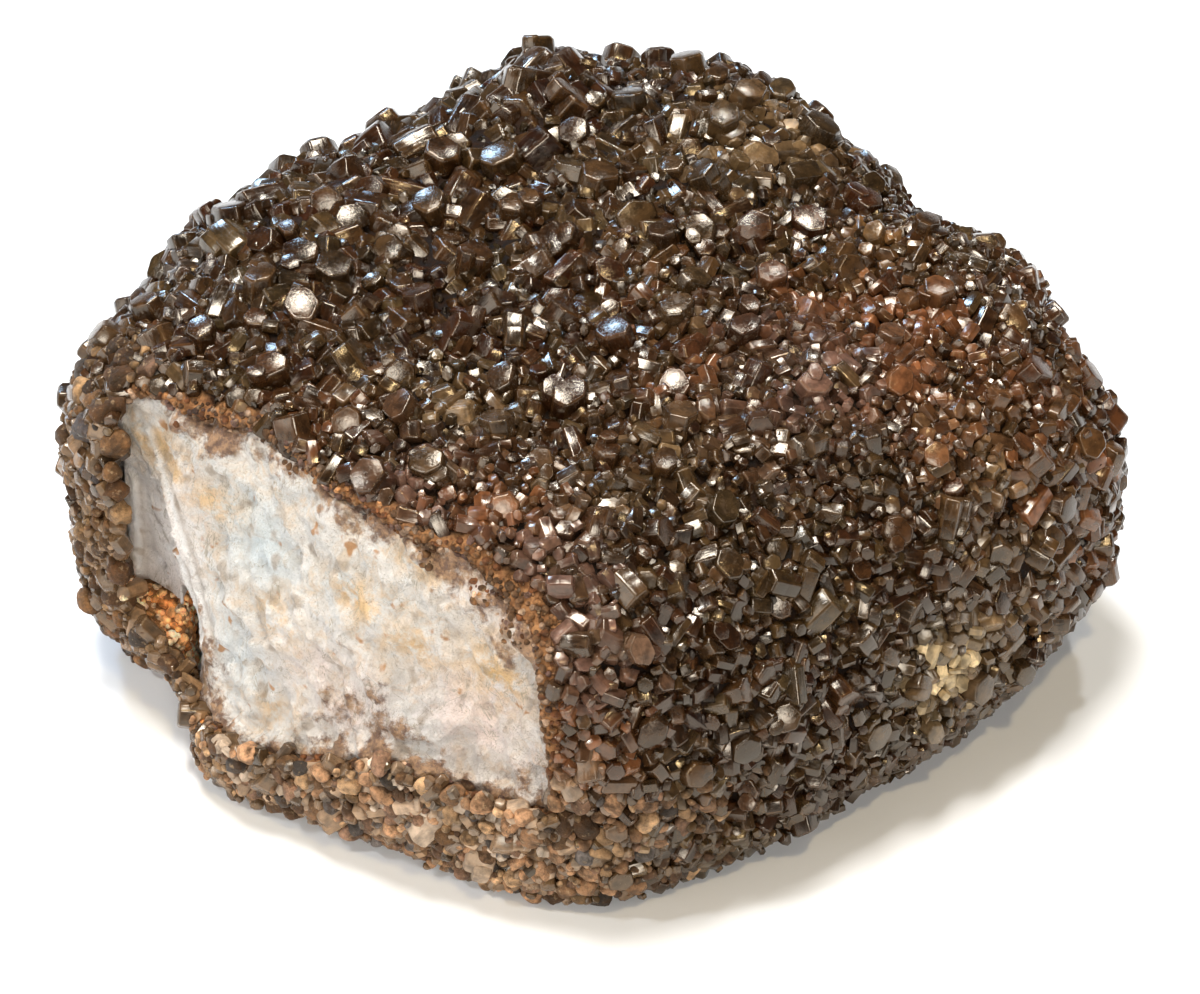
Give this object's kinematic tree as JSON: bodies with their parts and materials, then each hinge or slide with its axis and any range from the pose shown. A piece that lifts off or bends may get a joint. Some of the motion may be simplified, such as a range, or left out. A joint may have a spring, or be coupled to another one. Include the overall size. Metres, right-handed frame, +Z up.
{
  "type": "vanadinite specimen",
  "caption": "Mineral specimen: a block of pale baryte under a crust of stubby brown hexagonal vanadinite crystals, broken away at the front left, standing on its flat underside.",
  "frame": {"origin": "on the ground under the middle of the specimen's bounding box", "axes": "+X to the right along the longest side, +Y to the back, +Z up; the broken face looks to -X and -Y"},
  "size_m": [0.0821, 0.0734, 0.0365],
  "materials": {
    "vanadinite": "glossy dark brown crystals with a resinous to adamantine lustre",
    "baryte": "rough, matt to slightly pearly white with cream, pinkish and rusty stains"
  },
  "bodies": {
    "root": {"vanadinite_crust": "vanadinite", "baryte_matrix": "baryte"}
  },
  "joints": []
}
